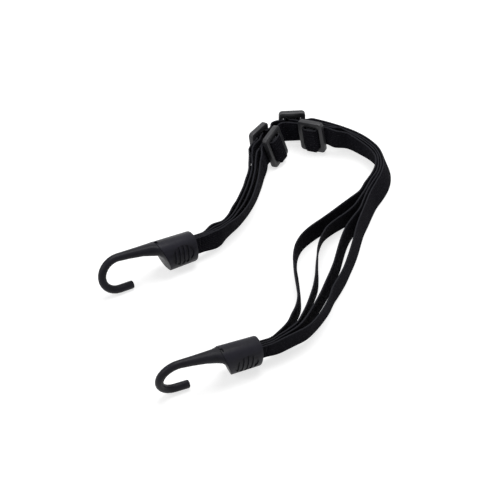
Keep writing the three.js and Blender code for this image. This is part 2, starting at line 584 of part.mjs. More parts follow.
// A free stretch of band through listed points, between control points at its two ends
function freeBand(start, listed, end, gathered) {
  const points = listed.map(([x, y, lift, lean]) => {
    const tilt = lean * DEG;
    const rise = (BAND_WIDTH * Math.cos(tilt) + BAND_THICKNESS * Math.abs(Math.sin(tilt))) / 2;
    return { at: vec(x * ROUTE_UNIT, y * ROUTE_UNIT, lift * ROUTE_UNIT + rise), lean };
  });
  const controls = [...start, ...points, ...end];
  const places = controls.map((control) => control.at);
  const leans = controls.map((control) => vec(control.lean, 0, 0));
  const route = new THREE.CatmullRomCurve3(places, false, "centripetal");
  const twist = new THREE.CatmullRomCurve3(leans, false, "catmullrom", 0.5);
  const steps = (controls.length - 1) * STEPS_PER_POINT;
  const centres = Array.from({ length: steps + 1 }, (_, i) => route.getPoint(i / steps));
  const lengths = [0];
  for (let i = 1; i <= steps; i++) lengths.push(lengths[i - 1] + centres[i].distanceTo(centres[i - 1]));
  const rings = centres.map((centre, i) => {
    const along = route.getTangent(i / steps);
    const lean = twist.getPoint(i / steps).x * DEG;
    const level = vec(-along.y, along.x, 0).normalize();
    const across = UP.clone().multiplyScalar(Math.cos(lean)).addScaledVector(level, Math.sin(lean));
    across.addScaledVector(along, -across.dot(along)).normalize();
    const face = vec(0, 0, 0).crossVectors(across, along);
    const fromMouth = gathered === "start" ? lengths[i] : lengths[steps] - lengths[i];
    const share = gathered ? Math.min(fromMouth / GATHER_LENGTH, 1) : 1;
    const width = mix(GATHERED_WIDTH, BAND_WIDTH, share * share * (3 - 2 * share));
    return bandRing(centre, across, face, width);
  });
  return loft(rings);
}

function bandRing(centre, across, face, width) {
  const tall = width / 2;
  const thick = BAND_THICKNESS / 2;
  const corners = [
    [tall, thick - BAND_EDGE],
    [tall - BAND_EDGE, thick],
    [BAND_EDGE - tall, thick],
    [-tall, thick - BAND_EDGE],
    [-tall, BAND_EDGE - thick],
    [BAND_EDGE - tall, -thick],
    [tall - BAND_EDGE, -thick],
    [tall, BAND_EDGE - thick],
  ];
  return corners.map(([a, b]) => centre.clone().addScaledVector(across, a).addScaledVector(face, b));
}

// Puts a group on its place's axes
function placed(place, x, y, z) {
  const group = new THREE.Group();
  group.applyMatrix4(new THREE.Matrix4().makeBasis(x, y, z).setPosition(place.origin));
  return group;
}

const strap = new THREE.Group();
const hookPlaces = Object.fromEntries(Object.entries(HOOKS).map(([name, hook]) => [name, hookPlace(hook)]));
const adjusterPlaces = Object.fromEntries(
  Object.entries(ADJUSTERS).map(([name, adjuster]) => [name, adjusterPlace(adjuster)]),
);

// Hooks, each with its pins, the loops of both bands and the necks at its mouth
for (const [name, place] of Object.entries(hookPlaces)) {
  const group = placed(place, place.run, place.up, place.side);
  group.add(piece(`${name}_hook_core`, hookCore(), HOOK_BLACK));
  group.add(piece(`${name}_hook_cover`, hookCover(), HOOK_BLACK));
  for (const [band, side] of [["outer", place.outward], ["inner", -place.outward]]) {
    group.add(piece(`${name}_${band}_band_pin`, hookPin(side), PIN_STEEL));
    group.add(piece(`${name}_${band}_band_loop`, hookLoop(side), BAND_BLACK));
    group.add(piece(`${name}_${band}_return_neck`, hookNeck((side * BAND_PITCH) / 2), BAND_BLACK));
    group.add(piece(`${name}_${band}_through_neck`, hookNeck(side * 1.5 * BAND_PITCH), BAND_BLACK));
  }
  strap.add(group);
}

// Adjusters, each with the woven band and the sewn end
for (const [name, place] of Object.entries(adjusterPlaces)) {
  const { side, hook } = ADJUSTERS[name];
  const group = placed(place, place.run.clone().multiplyScalar(side), place.out, place.up);
  group.add(piece(`${name}_adjuster`, adjusterFrame(), ADJUSTER_BLACK));
  group.add(piece(`${name}_weave`, weave(), BAND_BLACK));
  group.add(piece(`${name}_sewn_end`, sewnEnd(side * hook), BAND_BLACK));
  strap.add(group);
}

// Free stretches of both bands
const THROUGH_START = WEAVE_END + SEAM;
const RETURN_START = TAIL_LENGTH + CLEARANCE;
const LEAD = 6; // straight run of a band before a mouth
const GLIDE = 2.5; // straight run of a band beside an adjuster
const ROUTES = {
  outer_left_through: OUTER_LEFT_THROUGH,
  outer_left_return: OUTER_LEFT_RETURN,
  inner_left_return: INNER_LEFT_RETURN,
  inner_left_through: INNER_LEFT_THROUGH,
  inner_right_through: INNER_RIGHT_THROUGH,
  inner_right_return: INNER_RIGHT_RETURN,
  outer_right_return: OUTER_RIGHT_RETURN,
  outer_right_through: OUTER_RIGHT_THROUGH,
};
for (const [name, listed] of Object.entries(ROUTES)) {
  const [band, arm, run] = name.split("_");
  const through = run === "through";
  const adjuster = adjusterPlaces[`${band}_${arm}`];
  const toward = ADJUSTERS[`${band}_${arm}`].hook;
  const depth = through ? THROUGH_LEVEL : RETURN_LEVEL;
  const first = through ? THROUGH_START : RETURN_START;
  const offset = (band === "outer" ? 1 : -1) * (through ? 1.5 : 0.5) * BAND_PITCH;
  const mouth = [NECK_LENGTH + CLEARANCE, NECK_LENGTH + CLEARANCE + LEAD].map((distance) => {
    return atMouth(hookPlaces[arm], distance, offset);
  });
  const glide = [first, first + GLIDE].map((distance) => besideAdjuster(adjuster, toward * distance, depth));
  const geometry =
    arm === "left"
      ? freeBand(mouth, listed, glide.reverse(), "start")
      : freeBand(glide, listed, mouth.reverse(), "end");
  strap.add(piece(name, geometry, BAND_BLACK));
}
const MIDDLES = { outer: OUTER_MIDDLE, inner: INNER_MIDDLE };
for (const [band, listed] of Object.entries(MIDDLES)) {
  const leave = [THROUGH_START, THROUGH_START + GLIDE].map((distance) => {
    return besideAdjuster(adjusterPlaces[`${band}_left`], distance, THROUGH_LEVEL);
  });
  const arrive = [THROUGH_START + GLIDE, THROUGH_START].map((distance) => {
    return besideAdjuster(adjusterPlaces[`${band}_right`], -distance, THROUGH_LEVEL);
  });
  strap.add(piece(`${band}_middle`, freeBand(leave, listed, arrive, null), BAND_BLACK));
}

// The strap's box is centred over the origin and stands on the floor
strap.updateMatrixWorld(true);
const box = new THREE.Box3().setFromObject(strap, true);
strap.position.set(-(box.min.x + box.max.x) / 2, -(box.min.y + box.max.y) / 2, -box.min.z);
const group = new THREE.Group();
group.add(strap);

export default group;
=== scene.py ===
import json
import math

import bpy
import numpy as np
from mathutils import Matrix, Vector


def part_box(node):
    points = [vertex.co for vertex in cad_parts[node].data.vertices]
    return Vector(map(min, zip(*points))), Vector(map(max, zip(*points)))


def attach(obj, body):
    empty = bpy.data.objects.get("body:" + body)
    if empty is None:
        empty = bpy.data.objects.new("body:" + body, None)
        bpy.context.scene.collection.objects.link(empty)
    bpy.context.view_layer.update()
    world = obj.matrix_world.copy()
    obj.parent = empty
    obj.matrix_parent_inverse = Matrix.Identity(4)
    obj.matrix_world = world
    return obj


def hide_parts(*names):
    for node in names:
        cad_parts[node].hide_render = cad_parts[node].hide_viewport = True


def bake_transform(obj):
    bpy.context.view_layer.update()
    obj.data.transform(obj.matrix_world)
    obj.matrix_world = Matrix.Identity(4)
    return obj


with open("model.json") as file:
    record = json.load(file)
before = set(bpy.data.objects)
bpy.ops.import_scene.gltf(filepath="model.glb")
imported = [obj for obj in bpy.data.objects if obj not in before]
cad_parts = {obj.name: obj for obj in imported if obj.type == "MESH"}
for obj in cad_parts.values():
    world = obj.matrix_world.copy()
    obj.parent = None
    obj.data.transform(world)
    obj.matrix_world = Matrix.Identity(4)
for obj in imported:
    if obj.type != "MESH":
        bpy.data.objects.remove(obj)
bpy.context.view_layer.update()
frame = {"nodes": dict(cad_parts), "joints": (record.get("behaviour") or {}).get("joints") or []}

MM = 0.001
UP = Vector((0, 0, 1))

# Bands, in millimetres
BAND_WIDTH = 15
BAND_THICKNESS = 1.2
GATHERED_WIDTH = 11.5
GATHER_LENGTH = {"left": 13, "right": 12}
BAND_PITCH = 1.5
NECK_LENGTH = 4.6
CLEARANCE = 0.3
FLOOR_GAP = 0.15
LEAD = 6
GLIDE = 2.5
SELVEDGE = 0.42
RIBS = 9
RIB_DEPTH = 0.07
RIB_POINTS = 4
STEP = 1.4
PLANE_STEP = 1.2

# Adjusters, in millimetres
ADJUSTER_LENGTH = 18
ADJUSTER_THICKNESS = 3.6
SIDE_BAR = 3
CENTRE_BAR = 3
CENTRE_BAR_THICKNESS = 2.4
BAR_CORNER = 0.7
THROUGH_LEVEL = ADJUSTER_THICKNESS / 2 + CLEARANCE + BAND_THICKNESS / 2
RETURN_LEVEL = THROUGH_LEVEL + BAND_PITCH
CREST_LEVEL = CENTRE_BAR_THICKNESS / 2 + 2 * CLEARANCE + 1.5 * BAND_THICKNESS
CREST_RADIUS = 2.4
CREST_FLAT = 2.6
BEND_RADIUS = 0.9
WEAVE_TILT = 4
WEAVE_WIDTH = 15.8
CREST_SAG = 3
SAG_LEVEL = 2.1
TAIL_KNEE = 5
TAIL_BEND_RADIUS = 2
THROUGH_START = ADJUSTER_LENGTH / 2 - SIDE_BAR / 2 + CLEARANCE / 2
RETURN_START = 9.65

# Hooks, in millimetres and degrees, by the middle of the mouth in the routes' own plane
PIN_RADIUS = 1
PIN_U = 12
PIN_RING = PIN_RADIUS + CLEARANCE + BAND_THICKNESS / 2
PIN_W = BAND_PITCH / 2 + PIN_RING
RETURN_BEND_U = 2
RETURN_BEND_RADIUS = 8
HOOKS = {
    "left": {"x": -36.8, "y": -8.8, "heading": 211.6, "pitch": 4.2, "lean": 14, "outward": 1},
    "right": {"x": 4.6, "y": -104.1, "heading": 207, "pitch": 4.2, "lean": 8, "outward": -1},
}
ADJUSTERS = {
    "outer_left": {"heading": 55, "cant": 0, "lean": 8, "side": 1, "hook": -1},
    "inner_left": {"heading": 61, "cant": 6, "lean": 17, "side": -1, "hook": -1},
    "outer_right": {"heading": 4, "cant": 0, "lean": 0, "side": 1, "hook": 1},
    "inner_right": {"heading": -26, "cant": 8, "lean": -3, "side": -1, "hook": 1},
}

# Routes of the bands, from the left hook round the back to the right hook:
# x, y of the band's middle, height of its lower edge, lean of its upper edge outward
OUTER_LEFT_THROUGH = [
    (-24.1, 5.6, 2, 3), (-18.7, 10.9, 1, -6), (-14.9, 18, 0.6, -9), (-12.4, 25.4, 0.5, -9),
    (-9.5, 32.2, 0.3, -8), (-6.9, 39, 0.3, -5), (-4.6, 45.9, 0.4, -3), (-2.9, 52.9, 0.5, -1),
    (-1, 59.9, 0.8, 1), (0, 66.9, 1.3, 3), (0.1, 74, 2.4, 4), (-0.3, 80, 3.6, -2),
]
OUTER_LEFT_RETURN = [
    (-22.3, 4, 2, 1), (-17.6, 9.8, 1.1, -7), (-13.4, 16.5, 0.6, -10), (-10.3, 23.4, 0.4, -10),
    (-7.8, 30.6, 0.3, -9), (-5.2, 37.5, 0.3, -6), (-2.9, 44.4, 0.4, -3), (-1.1, 51.3, 0.4, -1),
    (0.6, 58.2, 0.7, 1), (1.8, 65.2, 1.2, 4), (2.2, 72.4, 2.2, 6), (2.8, 77.6, 3.4, 11),
]
INNER_LEFT_RETURN = [
    (-20.8, 2.4, 2, 0), (-16.5, 8.7, 1.1, -8), (-12.3, 15.2, 0.5, -12), (-8.8, 22, 0.4, -12),
    (-5.6, 28.7, 0.3, -11), (-2.9, 35.5, 0.3, -8), (-0.6, 42.4, 0.3, -4), (1.3, 49.4, 0.3, -1),
    (2.8, 56.6, 0.6, 2), (4, 63.6, 1, 4), (4.8, 70.7, 2.2, 8), (6.2, 78.4, 3.4, 12),
]
INNER_LEFT_THROUGH = [
    (-19.2, 0.5, 3, -1), (-14.9, 7.2, 2.2, -9), (-10.7, 13.8, 1.1, -14), (-6.8, 20.2, 0.3, -14),
    (-3.2, 26.7, 0.3, -13), (-0.3, 33.4, 0.3, -10), (2.1, 40.5, 0.3, -6), (4, 47.4, 0.3, -2),
    (5.6, 54.5, 0.4, 1), (6.9, 61.5, 0.9, 5), (8, 68.4, 2, 9), (9.4, 75.2, 3.3, 13),
]
INNER_RIGHT_THROUGH = [
    (57.2, 96.1, 6.8, -2), (66.2, 96.2, 4.5, -9), (74.3, 91.9, 2.5, -12), (81, 85, 2.1, -15),
    (85.4, 76.5, 1.7, -16), (85.2, 66.9, 1.3, -17), (82, 58.1, 0.9, -15), (77.1, 49.9, 0.5, -11),
    (72.6, 41.3, 0.3, -7), (66, 34.3, 0.3, -4), (59.3, 27.4, 0.3, -2), (52.6, 20.4, 0.3, 0),
    (45.9, 13.4, 0.3, 0), (39.1, 6.5, 0.3, 0), (33.3, -1.2, 0.3, 0), (29.8, -10.1, 0.3, -3),
    (28.6, -19.6, 0.3, -7), (29, -29.3, 0.3, -11), (29.6, -38.9, 0.3, -12), (30.3, -48.6, 0.3, -10),
    (30.5, -58.2, 0.3, -6), (28.5, -67.8, 0.9, 0), (25.3, -76.2, 1.6, 4), (21.9, -85.1, 2.6, 7),
]
INNER_RIGHT_RETURN = [
    (60.5, 100, 5.9, -3), (67, 98.3, 4.3, -9), (74.7, 94.3, 2.4, -11), (81.6, 87.7, 2, -14),
    (86.5, 79.6, 1.5, -17), (87.5, 70.2, 1.1, -18), (85.6, 60.9, 0.8, -17), (81.1, 52.5, 0.5, -14),
    (77.2, 43.7, 0.3, -11), (72.8, 35.4, 0.3, -6), (67.8, 27.4, 0.3, 1), (61.4, 20.4, 0.3, 7),
    (54.4, 13.9, 0.3, 10), (48.5, 6.8, 0.3, 11), (45.1, -2, 0.3, 8), (43.3, -11.3, 0.3, 3),
    (42.8, -20.9, 0.3, -1), (42.4, -30.5, 0.3, -5), (41.7, -40, 0.3, -5), (39.8, -49.4, 0.3, -1),
    (37.4, -58.7, 0.5, 1), (34.8, -67.9, 1.1, 2), (31.4, -76.9, 1.9, 5), (27.3, -85.5, 2.8, 8),
]
OUTER_RIGHT_RETURN = [
    (47.5, 108, 4, 0), (55.8, 105.8, 3.5, -4), (64.5, 102.3, 2.9, -6), (72.8, 98.1, 2.4, -10),
    (80.2, 92.4, 2, -14), (86, 85.1, 1.5, -17), (89.1, 76.4, 1, -19), (89.2, 67.1, 0.7, -20),
    (86.6, 58.1, 0.5, -20), (82.4, 49.8, 0.4, -17), (78.5, 41.3, 0.3, -14), (75.2, 32.5, 0.3, -10),
    (71.9, 23.8, 0.3, -6), (67.6, 15.8, 0.3, -7), (63.4, 7.6, 0.3, -8), (60.4, -1.2, 0.3, -9),
    (58.1, -10.3, 0.3, -10), (56.1, -19.5, 0.3, -10), (53.8, -28.6, 0.3, -8), (51, -37.5, 0.3, -7),
    (47.8, -46.3, 0.3, -5), (44.6, -55.1, 0.5, -2), (41, -63.7, 0.8, 1), (37.2, -72.3, 1.4, 4),
    (33.1, -80.7, 2.3, 7), (28, -88.5, 3.2, 10),
]
OUTER_RIGHT_THROUGH = [
    (42, 112, 4.3, 0), (48.5, 110.3, 3.9, 0), (56.2, 107.8, 3.4, -2), (65.2, 104.4, 2.7, -5),
    (73.8, 100, 2.2, -9), (81.4, 94.1, 1.7, -13), (87.5, 86.7, 1.3, -17), (90.8, 77.7, 0.8, -20),
    (91.1, 68.1, 0.3, -21), (88.9, 58.7, 0.3, -22), (85.1, 49.7, 0.3, -21), (81.1, 41, 0.3, -17),
    (78, 32, 0.3, -15), (75.1, 22.9, 0.3, -14), (72, 13.6, 0.3, -13), (69.7, 4.3, 0.3, -13),
    (67.7, -5.1, 0.3, -12), (65.3, -14.5, 0.3, -10), (62.6, -23.7, 0.3, -7), (59.7, -32.9, 0.3, -5),
    (56.1, -41.8, 0.3, -4), (52.1, -50.6, 0.3, -3), (49.2, -60, 0.4, 1), (45.4, -69, 0.8, 5),
    (40.9, -77.8, 1.5, 8), (35.5, -86, 2.3, 10), (28.2, -92.5, 3.2, 11),
]
OUTER_MIDDLE = [(15.6, 107, 4.5, 6)]
INNER_MIDDLE = [(21.5, 105, 5.4, 9), (26.4, 106.3, 5.2, 4), (30.8, 106.2, 5, 0)]
ROUTES = {
    "outer_left_through": OUTER_LEFT_THROUGH,
    "outer_left_return": OUTER_LEFT_RETURN,
    "inner_left_return": INNER_LEFT_RETURN,
    "inner_left_through": INNER_LEFT_THROUGH,
    "inner_right_through": INNER_RIGHT_THROUGH,
    "inner_right_return": INNER_RIGHT_RETURN,
    "outer_right_return": OUTER_RIGHT_RETURN,
    "outer_right_through": OUTER_RIGHT_THROUGH,
}
MIDDLES = {"outer": OUTER_MIDDLE, "inner": INNER_MIDDLE}

# Band beside an adjuster, made as an end piece of its own
END_RUN = {"left": 16, "right": 40}
CORD_LEAST = 6.05 * BAND_WIDTH
MIDDLE_SPLIT = {"outer": 0.58, "inner": 0.5}

JOINTS = {joint["name"]: joint for joint in frame["joints"]}
MOUTHS = {arm: Vector(JOINTS[f"{arm}_hook_swing"]["pos_m"]) for arm in HOOKS}
left = HOOKS["left"]
SHIFT = MOUTHS["left"] - Vector((left["x"] * MM, left["y"] * MM, 0))
SHIFT.z = -FLOOR_GAP * MM


# Camera at the photograph's angle
CAMERA_DISTANCE = 1.4
CAMERA_ELEVATION = math.radians(42)
FRAME_WIDTH = 500
FOCAL_PIXELS = 2170


def make_camera():
    data = bpy.data.cameras.new("camera")
    data.sensor_width = 36
    data.lens = data.sensor_width * FOCAL_PIXELS / FRAME_WIDTH
    camera = bpy.data.objects.new("camera", data)
    back = Vector((0, -math.cos(CAMERA_ELEVATION), math.sin(CAMERA_ELEVATION)))
    camera.location = SHIFT + back * CAMERA_DISTANCE
    camera.rotation_euler = (math.pi / 2 - CAMERA_ELEVATION, 0, 0)
    bpy.context.collection.objects.link(camera)
    bpy.context.scene.camera = camera


make_camera()


# Places of the hooks' mouths and the adjusters
def tilted_axes(heading, pitch, lean, lean_side):
    heading, pitch, lean = (math.radians(angle) for angle in (heading, pitch, lean))
    level = Vector((math.cos(heading), math.sin(heading), 0))
    run = level * math.cos(pitch) + UP * math.sin(pitch)
    side = UP.cross(level) * lean_side
    up = UP * math.cos(lean) + side * math.sin(lean)
    up = (up - run * up.dot(run)).normalized()
    return run, up


def hook_place(arm):
    hook = HOOKS[arm]
    run, up = tilted_axes(hook["heading"], hook["pitch"], hook["lean"], -hook["outward"])
    place = {"run": run, "up": up, "side": run.cross(up), "origin": MOUTHS[arm]}
    return {**place, "lean": hook["lean"], "outward": hook["outward"]}


def adjuster_place(name):
    adjuster = ADJUSTERS[name]
    run, up = tilted_axes(adjuster["heading"], adjuster["cant"], adjuster["lean"], 1)
    low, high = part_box(f"{name}_adjuster")
    origin = (Vector(low) + Vector(high)) / 2
    out = up.cross(run) * adjuster["side"]
    return {"run": run, "up": up, "out": out, "origin": origin, "lean": adjuster["lean"]}


HOOK_PLACES = {arm: hook_place(arm) for arm in HOOKS}
ADJUSTER_PLACES = {name: adjuster_place(name) for name in ADJUSTERS}


def at_mouth(place, distance, offset):
    at = place["origin"] - place["run"] * distance * MM
    return at + place["side"] * offset * place["outward"] * MM, place["lean"]


def beside_adjuster(place, along, depth):
    at = place["origin"] + place["run"] * along * MM - place["out"] * depth * MM
    return at, place["lean"]


def on_route(point):
    x, y, lift, lean = point
    tilt = math.radians(lean)
    rise = (BAND_WIDTH * math.cos(tilt) + BAND_THICKNESS * abs(math.sin(tilt))) / 2
    return SHIFT + Vector((x, y, lift + rise)) * MM, lean


# Smooth curves through control points
FINE_STEPS = 40
NUDGE = 1e-3


def hermite(a, b, slope_a, slope_b, t):
    square, cube = t * t, t * t * t
    return (
        a * (2 * cube - 3 * square + 1)
        + b * (3 * square - 2 * cube)
        + slope_a * (cube - 2 * square + t)
        + slope_b * (cube - square)
    )


def neighbours(points, t):
    last = len(points) - 1
    index = min(int(t), last - 1)
    before = points[index - 1] if index > 0 else 2 * points[0] - points[1]
    after = points[index + 2] if index + 2 <= last else 2 * points[last] - points[last - 1]
    return before, points[index], points[index + 1], after, t - index


def route_point(points, t):
    before, a, b, after, t = neighbours(points, t)
    gap = [np.sqrt(np.linalg.norm(q - p)) for p, q in ((before, a), (a, b), (b, after))]
    slope_a = (a - before) / gap[0] - (b - before) / (gap[0] + gap[1]) + (b - a) / gap[1]
    slope_b = (b - a) / gap[1] - (after - a) / (gap[1] + gap[2]) + (after - b) / gap[2]
    return hermite(a, b, slope_a * gap[1], slope_b * gap[1], t)


def lean_at(leans, t):
    before, a, b, after, t = neighbours(leans, t)
    return hermite(a, b, (b - before) / 2, (after - a) / 2, t)


def unit(rows):
    return rows / np.linalg.norm(rows, axis=1)[:, None]


def sections(centres, across, along, travel, widths):
    return {
        "centres": centres,
        "across": across,
        "along": along,
        "travel": travel,
        "widths": widths,
    }


def free_band(controls, gathered=None, gather_length=1):
    """Sections of a free stretch about a step apart: centres, across, along, travel and widths."""
    points = np.array([tuple(at) for at, lean in controls])
    leans = np.array([lean for at, lean in controls], float)
    fine = np.linspace(0, len(points) - 1, FINE_STEPS * len(points))
    run = np.array([route_point(points, t) for t in fine])
    travel = np.concatenate([[0], np.cumsum(np.linalg.norm(np.diff(run, axis=0), axis=1))])
    count = int(round(travel[-1] / (STEP * MM))) + 1
    at = np.interp(np.linspace(0, travel[-1], count), travel, fine)
    centres = np.array([route_point(points, t) for t in at])
    ahead = np.array([route_point(points, min(t + NUDGE, len(points) - 1)) for t in at])
    behind = np.array([route_point(points, max(t - NUDGE, 0)) for t in at])
    along = unit(ahead - behind)
    lean = np.radians([lean_at(leans, t) for t in at])[:, None]
    level = unit(np.stack([-along[:, 1], along[:, 0], 0 * along[:, 0]], axis=1))
    across = np.array(UP) * np.cos(lean) + level * np.sin(lean)
    across = unit(across - along * np.sum(across * along, axis=1)[:, None])
    travel = np.linspace(0, travel[-1], count)
    from_mouth = travel if gathered == "start" else travel[-1] - travel
    share = np.clip(from_mouth / (gather_length * MM), 0, 1) if gathered else np.ones(count)
    widths = GATHERED_WIDTH + (BAND_WIDTH - GATHERED_WIDTH) * share * share * (3 - 2 * share)
    return sections(centres, across, along, travel, widths * MM)


def part_of(band, first, last):
    return {key: values[first : last + 1] for key, values in band.items()}


# The band's section, with ribs on both faces and rounded selvedges:
# across, out of the face, and place round it
def section():
    points = []
    flat = BAND_WIDTH / 2 - SELVEDGE
    steps = RIBS * RIB_POINTS
    thick = BAND_THICKNESS / 2
    for side in (1, -1):
        for i in range(steps + 1):
            a = side * flat * (1 - 2 * i / steps)
            dip = RIB_DEPTH * (0.5 + 0.5 * math.cos(2 * math.pi * i / RIB_POINTS))
            points.append((a, side * (thick - dip), a))
        for i in range(1, 4):
            angle = math.pi * i / 4
            a = -side * (flat + SELVEDGE * math.sin(angle))
            points.append((a, side * (thick - RIB_DEPTH) * math.cos(angle), a))
    return np.array(points)


SECTION = section()


def band_mesh(name, band):
    """A closed band over its sections, with texture places in millimetres along and across it."""
    sides = len(SECTION)
    count = len(band["centres"])
    face = np.cross(band["across"], band["along"])
    scale = band["widths"][:, None] / (BAND_WIDTH * MM)
    a = SECTION[:, 0][None, :] * scale * MM
    b = SECTION[:, 1][None, :] * MM * np.ones_like(scale)
    rings = band["centres"][:, None] + band["across"][:, None] * a[:, :, None]
    rings += face[:, None] * b[:, :, None]
    caps = np.stack([band["centres"][0], band["centres"][-1]])
    vertices = np.concatenate([rings.reshape(-1, 3), caps])
    faces = []
    places = []
    for row in range(count - 1):
        for i in range(sides):
            j = (i + 1) % sides
            here, onward = row * sides, (row + 1) * sides
            faces.append((here + i, onward + i, onward + j, here + j))
            places += [(row, i), (row + 1, i), (row + 1, j), (row, j)]
    for row, centre, order in ((0, count * sides, 1), (count - 1, count * sides + 1, -1)):
        for i in range(sides):
            j = (i + 1) % sides
            pair = (i, j) if order > 0 else (j, i)
            faces.append((centre, row * sides + pair[0], row * sides + pair[1]))
            places += [(row, None), (row, pair[0]), (row, pair[1])]
    mesh = bpy.data.meshes.new(name)
    mesh.from_pydata(vertices.tolist(), [], faces)
    travel = band["travel"] / MM
    layer = mesh.uv_layers.new(name="band")
    values = [(travel[row], 0 if i is None else SECTION[i, 2]) for row, i in places]
    layer.data.foreach_set("uv", np.array(values, float).ravel())
    mesh.polygons.foreach_set("use_smooth", [len(polygon) == 4 for polygon in faces])
    mesh.validate()
    obj = bpy.data.objects.new(name, mesh)
    bpy.context.collection.objects.link(obj)
    return obj


# Paths drawn in a plane, with rounded corners
ARC_STEP = math.radians(9)
SHORTEST_STEP = 1e-6


def rounded_path(points, radii):
    """The polyline with an arc of the given radius at each inner corner."""
    points = [np.array(p, float) for p in points]
    path = [points[0]]
    for before, corner, after, radius in zip(points, points[1:], points[2:], radii):
        into = (corner - before) / np.linalg.norm(corner - before)
        out = (after - corner) / np.linalg.norm(after - corner)
        turn = math.atan2(into[0] * out[1] - into[1] * out[0], float(into @ out))
        reach = radius * math.tan(abs(turn) / 2)
        normal = np.array([-into[1], into[0]]) * math.copysign(1, turn)
        centre = corner - into * reach + normal * radius
        steps = max(int(abs(turn) / ARC_STEP), 1)
        for i in range(steps + 1):
            angle = turn * i / steps
            cosine, sine = math.cos(angle), math.sin(angle)
            spin = np.array([[cosine, -sine], [sine, cosine]])
            path.append(centre + radius * spin @ -normal)
    path.append(points[-1])
    return path


def plane_band(path, place, width=BAND_WIDTH):
    """Sections of a band on a path in a plane; place is origin, the plane's axes and across."""
    origin, x_axis, y_axis, across = place
    flat = [path[0]]
    for a, b in zip(path, path[1:]):
        reach = np.linalg.norm(b - a)
        pieces = max(int(reach / PLANE_STEP), 1)
        flat += [a + (b - a) * (i + 1) / pieces for i in range(pieces) if reach > SHORTEST_STEP]
    flat = np.array(flat)
    centres = np.array([tuple(origin + x_axis * (x * MM) + y_axis * (y * MM)) for x, y in flat])
    along = np.empty_like(centres)
    step = np.diff(centres, axis=0)
    along[0], along[-1] = step[0], step[-1]
    along[1:-1] = unit(step[:-1]) + unit(step[1:])
    travel = np.concatenate([[0], np.cumsum(np.linalg.norm(step, axis=1))])
    across = np.tile(np.array(across), (len(centres), 1))
    widths = np.full(len(centres), width * MM)
    return sections(centres, across, unit(along), travel, widths)


def on_arc(centre, radius, degrees):
    angle = math.radians(degrees)
    return np.array((centre[0] + radius * math.cos(angle), centre[1] + radius * math.sin(angle)))


def weave_path():
    slot_x = ADJUSTER_LENGTH / 2 - SIDE_BAR
    low = (-slot_x, -ADJUSTER_THICKNESS / 2)
    crest = (-CREST_FLAT, CREST_LEVEL - CREST_RADIUS)
    turn = 90 - WEAVE_TILT
    rise = [np.array((-THROUGH_START, -THROUGH_LEVEL))]
    rise += [on_arc(low, BEND_RADIUS, -90 + turn * i / 8) for i in range(9)]
    rise += [on_arc(crest, CREST_RADIUS, 90 + turn - turn * i / 10) for i in range(11)]
    return rise + [point * np.array((-1, 1)) for point in reversed(rise)]


def sagged(band, place):
    """The crest of a woven run hangs down a little in front of the frame's lower rail."""
    level = (band["centres"] - np.array(place["origin"])) @ np.array(place["out"]) / MM
    share = np.clip((level - SAG_LEVEL) / (CREST_LEVEL - SAG_LEVEL), 0, 1)
    drop = CREST_SAG * np.sin(share * math.pi / 2) ** 1.5 * MM
    centres = band["centres"] - np.array(place["up"]) * drop[:, None] / 2
    return {**band, "centres": centres, "widths": band["widths"] + drop}


def sewn_path(toward):
    reach = CENTRE_BAR / 2 + CLEARANCE + BAND_THICKNESS / 2
    under = CENTRE_BAR_THICKNESS / 2 + CLEARANCE + BAND_THICKNESS / 2
    corner = BAR_CORNER + CLEARANCE + BAND_THICKNESS / 2
    points = [
        (RETURN_START, -RETURN_LEVEL),
        (TAIL_KNEE, -RETURN_LEVEL),
        (CLEARANCE, -under),
        (-reach, -under),
        (-reach, under),
        (reach, under),
        (reach, -under),
    ]
    path = rounded_path(points, [TAIL_BEND_RADIUS] * 2 + [corner] * 3)
    return [point * np.array((toward, 1)) for point in path]


def turn_path(side):
    near, far = BAND_PITCH / 2, 1.5 * BAND_PITCH
    outside = -NECK_LENGTH - CLEARANCE
    path = [np.array((outside, near))]
    path += [on_arc((PIN_U, PIN_W), PIN_RING, -90 + 180 * i / 20) for i in range(21)]
    back = [path[-1], (RETURN_BEND_U, far), (outside, far)]
    path += rounded_path(back, [RETURN_BEND_RADIUS])[1:]
    return [point * np.array((1, side)) for point in path]


# Sockets and nodes of materials
def node(tree, kind, inputs=(), **settings):
    made = tree.nodes.new(kind)
    for name, value in settings.items():
        setattr(made, name, value)
    for name, value in dict(inputs).items():
        if isinstance(value, bpy.types.NodeSocket):
            tree.links.new(value, made.inputs[name])
        else:
            made.inputs[name].default_value = value
    return made


def new_material(name):
    material = bpy.data.materials.new(name)
    material.use_nodes = True
    tree = material.node_tree
    tree.nodes.clear()
    shader = tree.nodes.new("ShaderNodeBsdfPrincipled")
    output = tree.nodes.new("ShaderNodeOutputMaterial")
    tree.links.new(shader.outputs[0], output.inputs["Surface"])
    return material, tree, shader


def maths(tree, operation, a, b=0.0):
    return node(tree, "ShaderNodeMath", {0: a, 1: b}, operation=operation).outputs[0]


def ramp(tree, value, stops):
    made = node(tree, "ShaderNodeValToRGB", {"Fac": value})
    elements = made.color_ramp.elements
    while len(elements) < len(stops):
        elements.new(0.5)
    for element, (at, shade) in zip(elements, stops):
        element.position = at
        element.color = (*shade, 1)
    return made.outputs["Color"]


def mixed(tree, factor, a, b, **settings):
    inputs = {"Factor": factor, "A": a, "B": b}
    return node(tree, "ShaderNodeMix", inputs, data_type="RGBA", **settings).outputs["Result"]


def noise(tree, place, scale, detail, roughness=0.5):
    inputs = {"Vector": place, "Scale": scale, "Detail": detail, "Roughness": roughness}
    return node(tree, "ShaderNodeTexNoise", inputs).outputs[0]


def bumped(tree, shader, height, strength, distance):
    inputs = {"Height": height, "Strength": strength, "Distance": distance}
    tree.links.new(node(tree, "ShaderNodeBump", inputs).outputs[0], shader.inputs["Normal"])


